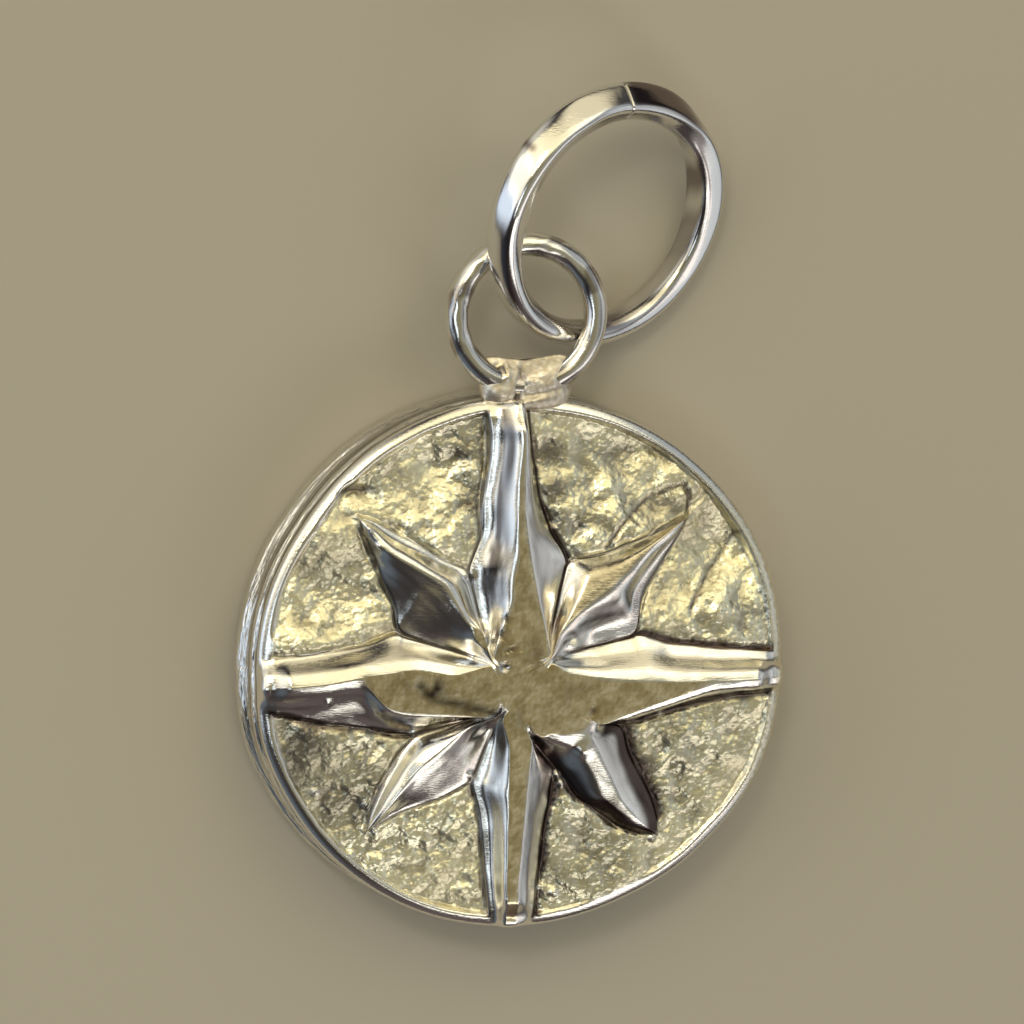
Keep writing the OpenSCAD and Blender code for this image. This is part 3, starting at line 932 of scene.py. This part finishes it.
def mix_colours(tree, factor, low, high):
    """A colour that goes from low to high with the factor. Both may be sockets or colours."""
    return node(tree, "ShaderNodeMix", {"Factor": factor, 6: low, 7: high}, 2, data_type="RGBA")


def new_group(name, inputs, outputs):
    """A shader node group with the inputs and the float outputs that it is asked for."""
    group = bpy.data.node_groups.new(name, "ShaderNodeTree")
    for label, kind in inputs:
        group.interface.new_socket(label, in_out="INPUT", socket_type=kind)
    for label in outputs:
        group.interface.new_socket(label, in_out="OUTPUT", socket_type="NodeSocketFloat")
    given = group.nodes.new("NodeGroupInput").outputs
    return group, given, group.nodes.new("NodeGroupOutput").inputs


def use_group(tree, group, vector, **values):
    """The outputs of a group placed in a material, on these coordinates and with these values."""
    n = tree.nodes.new("ShaderNodeGroup")
    n.node_tree = group
    for label, value in dict(Vector=vector, **values).items():
        feed(tree, n.inputs[label], value)
    return n.outputs


def grain_group():
    """Cast grain on coordinates in millimetres, finer as Scale grows: the height is fine noise less
    rounded cells, and the pits are a mask of the middles of other cells."""
    group, given, made = new_group(
        "cast_grain", [("Vector", "NodeSocketVector"), ("Scale", "NodeSocketFloat")],
        ["Height", "Pits"])
    where = scaled(group, given["Vector"], given["Scale"])
    lumps = node(group, "ShaderNodeTexVoronoi", {"Vector": where, "Scale": 6.0, "Smoothness": 0.6},
                 "Distance", feature="SMOOTH_F1")
    cells = node(group, "ShaderNodeTexVoronoi", {"Vector": where, "Scale": 5.0}, "Distance")
    half = node(group, "ShaderNodeMath", {0: noise(group, where, 11.0, 1.0), 1: 0.5},
                operation="MULTIPLY")
    feed(group, made["Height"], node(group, "ShaderNodeMath", {0: half, 1: lumps},
                                     operation="SUBTRACT"))
    feed(group, made["Pits"], spread(group, cells, 0.0, 0.22, 1.0, 0.0))
    return group


def scratch_group():
    """Fine polishing scratches: noise stretched along one direction, as a height."""
    group, given, made = new_group("polish_scratches", [("Vector", "NodeSocketVector")],
                                   ["Height"])
    drawn_out = squeezed(group, given["Vector"], (1.2, 14.0, 9.0), (0, 0, 0.6))
    feed(group, made["Height"], noise(group, drawn_out, 3.0, 3.0))
    return group


GRAIN = grain_group()
SCRATCHES = scratch_group()


def silver(name):
    """A new metal material: its node tree, its shader, and Object coordinates in millimetres."""
    material = bpy.data.materials.new(name)
    material.use_nodes = True
    tree = material.node_tree
    shader = tree.nodes["Principled BSDF"]
    shader.inputs["Metallic"].default_value = 1.0
    where = node(tree, "ShaderNodeTexCoord", output="Object")
    return material, tree, shader, scaled(tree, where, 1 / MM)


def finish(tree, shader, colour, roughness, height, strength, depth):
    """Gives a shader its colour and roughness, and a bump of this height, strength and depth in
    millimetres."""
    bump = {"Strength": strength, "Distance": depth * MM, "Height": height}
    feed(tree, shader.inputs["Base Color"], colour)
    feed(tree, shader.inputs["Roughness"], roughness)
    feed(tree, shader.inputs["Normal"], node(tree, "ShaderNodeBump", bump))


def sanding(tree, mm):
    """Sanding marks that run along the wall: noise that is close set in height and long round it."""
    marks = noise(tree, squeezed(tree, mm, (0.8, 0.8, 9.0)), 1.0, 3.0)
    return node(tree, "ShaderNodeMath", {0: marks, 1: 1.5}, operation="MULTIPLY")


def cast_silver():
    """Silver that is polished on the star and the rim, satin on the filed top, and rough, yellowed,
    pitted and stained on the field, with painted shade in the field's grain, beside the feet, in
    crevices and on the wall. The masks are attributes of the mesh."""
    material, tree, shader, mm = silver("cast_silver")
    polish, filed, sanded = mask(tree, "polish"), mask(tree, "filed"), mask(tree, "sanded")
    grain = use_group(tree, GRAIN, mm, Scale=1.0)
    scratches = use_group(tree, SCRATCHES, mm)

    patch = spread(tree, noise(tree, mm, 0.35, 2.0), 0.38, 0.62)
    # The grain's hollows are painted darker and its tops lighter, as painted shade and highlight.
    grain_shade = spread(tree, grain["Height"], -0.34, 0.02)
    low = mix_colours(tree, patch, (0.85, 0.78, 0.55), (0.95, 0.89, 0.64))
    high = mix_colours(tree, patch, (1.0, 0.95, 0.68), (1.0, 0.98, 0.77))
    field = mix_colours(tree, grain_shade, low, high)
    field = mix_colours(tree, grain["Pits"], field, (0.42, 0.38, 0.29))
    # Stains, and painted shade beside the arms' feet.
    field = mix_colours(tree, mask(tree, "stain_and_shade"), field, (0.25, 0.225, 0.18))
    mottle = spread(tree, noise(tree, mm, 2.2, 4.0), 0.40, 0.60)
    satin = mix_colours(tree, mottle, (0.66, 0.55, 0.33), (0.92, 0.81, 0.56))
    bright = mix_colours(tree, filed, (0.91, 0.89, 0.84), satin)
    metal = mix_colours(tree, polish, field, bright)
    # Tarnish and painted shade darken the metal.
    colour = mix_colours(tree, mask(tree, "tarnish_and_shade"), metal, (0.10, 0.075, 0.065))

    rough = mix_numbers(tree, patch, 0.40, 0.30)
    shiny = mix_numbers(tree, filed, 0.12, 0.22)
    height = mix_numbers(tree, polish, grain["Height"], scratches["Height"])
    height = mix_numbers(tree, filed, height, grain["Height"])
    height = mix_numbers(tree, sanded, height, sanding(tree, mm))
    strength = mix_numbers(tree, polish, 0.55, 0.12)
    strength = mix_numbers(tree, filed, strength, 0.24)
    strength = mix_numbers(tree, sanded, strength, 1.0)
    finish(tree, shader, colour, mix_numbers(tree, polish, rough, shiny), height, strength, 0.05)
    return material


def wire_silver(name, colour, roughness, scratch):
    """Polished wire: bright metal with fine scratches and a little uneven shine."""
    material, tree, shader, mm = silver(name)
    cloud = noise(tree, mm, 0.9, 2.0)
    clean = mix_colours(tree, cloud, colour, tuple(0.93 * c for c in colour))
    # Tarnish and painted shade darken the wire.
    metal = mix_colours(tree, mask(tree, "tarnish_and_shade"), clean, (0.15, 0.11, 0.11))
    uneven = mix_numbers(tree, cloud, roughness, roughness * 1.8)
    scratches = use_group(tree, SCRATCHES, mm)
    finish(tree, shader, metal, uneven, scratches["Height"], scratch, 0.02)
    return material


def solder_silver():
    """Solder: duller, creamy metal with a coarse grain, and one smooth bright facet."""
    material, tree, shader, mm = silver("solder_silver")
    grain = use_group(tree, GRAIN, mm, Scale=1.0)["Height"]
    polish = mask(tree, "polish")
    # The grain's hollows are painted darker, as painted shade.
    grain_shade = spread(tree, grain, -0.35, 0.0)
    clean = mix_colours(tree, grain_shade, (0.78, 0.69, 0.55), (0.97, 0.91, 0.80))
    # Tarnish and painted shade in the creases darken it.
    metal = mix_colours(tree, mask(tree, "tarnish_and_shade"), clean, (0.12, 0.09, 0.08))
    rough = mix_numbers(tree, polish, mix_numbers(tree, grain, 0.42, 0.28), 0.14)
    finish(tree, shader, metal, rough, grain, mix_numbers(tree, polish, 0.3, 0.05), 0.05)
    return material


# The scene

def dress():
    """Makes each piece, gives it its metal and lets it stand for its CAD node."""
    loop_silver = wire_silver("loop_silver", (0.88, 0.86, 0.82), 0.10, 0.15)
    ring_silver = wire_silver("ring_silver", (0.88, 0.87, 0.85), 0.08, 0.12)
    pieces = [
        (disc_and_star(), cast_silver(), "star_disc", "cast_silver"),
        (wire_loop(), loop_silver, "star_disc", "cast_silver"),
        (solder_pad(), solder_silver(), "star_disc", "cast_silver"),
        (jump_ring(), ring_silver, "jump_ring", "ring_silver"),
    ]
    for piece, material, stands_for, slot in pieces:
        piece.data.materials.append(material)
        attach(piece, "root")
        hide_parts(stands_for)


def floor():
    """A plain pale floor at the charm's back, 3 metres square."""
    mesh = bpy.data.meshes.new("floor")
    half = 1.5
    corners = [(-half, -half, 0), (half, -half, 0), (half, half, 0), (-half, half, 0)]
    mesh.from_pydata(corners, [], [(0, 1, 2, 3)])
    material = bpy.data.materials.new("pale_floor")
    material.use_nodes = True
    shader = material.node_tree.nodes["Principled BSDF"]
    shader.inputs["Base Color"].default_value = (0.50, 0.455, 0.37, 1)
    shader.inputs["Roughness"].default_value = 0.9
    mesh.materials.append(material)
    in_scene("floor", mesh)


def turn_away(thing, place, direction):
    """Puts a lamp or the camera at a place in metres so that it looks against a direction, with
    +Y upright in its view."""
    right = np.cross([0, 1.0, 0], direction)
    right /= np.linalg.norm(right)
    up = np.cross(direction, right)
    rows = np.column_stack([right, up, direction, place]).tolist()
    thing.matrix_world = Matrix([*rows, [0, 0, 0, 1]])


def soft_light(name, toward, distance, width, height, radiance, colour):
    """A soft panel that faces the charm. toward is its direction as angles from the face's normal
    to +X and to +Y in degrees, and radiance is how bright its face is."""
    direction = np.array([math.tan(math.radians(toward[0])), math.tan(math.radians(toward[1])), 1])
    direction /= np.linalg.norm(direction)
    data = bpy.data.lights.new(name, "AREA")
    data.shape = "RECTANGLE"
    data.size, data.size_y = width, height
    data.energy = radiance * math.pi * width * height
    data.color = colour
    turn_away(in_scene(name, data), direction * distance + np.array([0, 0.004, 0]), direction)


# The room's tones: a direction, where the tone starts and is full as a cosine, and its colour.
ROOM = [
    ((0.1, -0.05, 0.99), 0.80, 0.97, (0.20, 0.18, 0.10)),
    ((0.62, 0.38, 0.68), 0.82, 0.95, (0.34, 0.37, 0.38)),
    ((0.93, -0.02, 0.36), 0.92, 0.99, (0.45, 0.46, 0.47)),
    ((0.25, 0.85, 0.46), 0.90, 0.97, (0.80, 0.71, 0.47)),
    ((-0.70, 0.64, 0.31), 0.84, 0.98, (0.62, 0.59, 0.50)),
    ((-0.94, -0.05, 0.33), 0.93, 0.985, (0.78, 0.90, 1.05)),
    ((0.45, -0.45, 0.77), 0.88, 0.98, (0.13, 0.15, 0.17)),
    ((0.60, -0.60, 0.53), 0.90, 0.98, (0.20, 0.18, 0.17)),
    ((0.82, -0.48, 0.31), 0.965, 0.993, (0.46, 0.50, 0.52)),
    ((-0.69, -0.69, 0.20), 0.88, 0.985, (0.07, 0.10, 0.13)),
    ((0.0, -0.96, 0.28), 0.90, 0.98, (0.07, 0.052, 0.05)),
    ((0, 0, 1), -1.0, -0.9999, (0.042, 0.037, 0.036)),
]


def room(world):
    """The room round the charm as a light from every side: the sum of the tones, each of which
    fades in toward its direction."""
    tree = world.node_tree
    way = node(tree, "ShaderNodeTexCoord", output="Generated")
    total = (0, 0, 0)
    for axis, low, high, colour in ROOM:
        near = node(tree, "ShaderNodeVectorMath", {0: way, 1: axis}, "Value",
                    operation="DOT_PRODUCT")
        share = spread(tree, near, low, high, interpolation_type="SMOOTHSTEP")
        tint = scaled(tree, colour, share)
        total = node(tree, "ShaderNodeVectorMath", {0: total, 1: tint}, operation="ADD")
    feed(tree, tree.nodes["Background"].inputs["Color"], total)


def lights():
    """Six soft panels and the room."""
    soft_light("cream_panel", (-4, 33), 0.40, 0.54, 0.24, 1.15, (1.0, 0.89, 0.56))
    soft_light("left_panel", (-51, 25), 0.40, 0.18, 0.22, 1.05, (1.0, 0.94, 0.78))
    soft_light("key_light", (-22, 27), 0.38, 0.07, 0.05, 13.0, (1.0, 0.96, 0.88))
    soft_light("cool_window", (-27, -6), 0.40, 0.09, 0.12, 2.4, (0.80, 0.91, 1.0))
    soft_light("low_panel", (22, -43), 0.40, 0.24, 0.12, 1.8, (1.0, 0.96, 0.88))
    soft_light("pink_panel", (49, -39), 0.40, 0.14, 0.10, 0.85, (1.0, 0.86, 0.76))
    world = bpy.data.worlds.new("room")
    bpy.context.scene.world = world
    world.use_nodes = True
    room(world)


# The camera looks down on the face, a little from the left and from above the loop. scale is the
# picture's pixels for each millimetre at the target.
CAMERA = dict(azimuth=13.67, elevation=8.72, target=(0.0876, 4.085, 1.0), scale=35.99,
              distance=180.0)
PICTURE = 1024
SENSOR = 36


def camera():
    """The camera of the photograph's view."""
    az, el = math.radians(CAMERA["azimuth"]), math.radians(CAMERA["elevation"])
    toward = np.array([-math.sin(az) * math.cos(el), math.sin(el), math.cos(az) * math.cos(el)])
    data = bpy.data.cameras.new("photo_view")
    data.sensor_width = SENSOR
    data.lens = SENSOR * CAMERA["distance"] / (PICTURE / CAMERA["scale"])
    data.clip_start, data.clip_end = 0.01, 10
    eye = in_scene("photo_view", data)
    turn_away(eye, (np.array(CAMERA["target"]) + toward * CAMERA["distance"]) * MM, toward)
    bpy.context.scene.camera = eye


dress()
floor()
lights()
camera()
bpy.context.scene.view_settings.view_transform = "Standard"
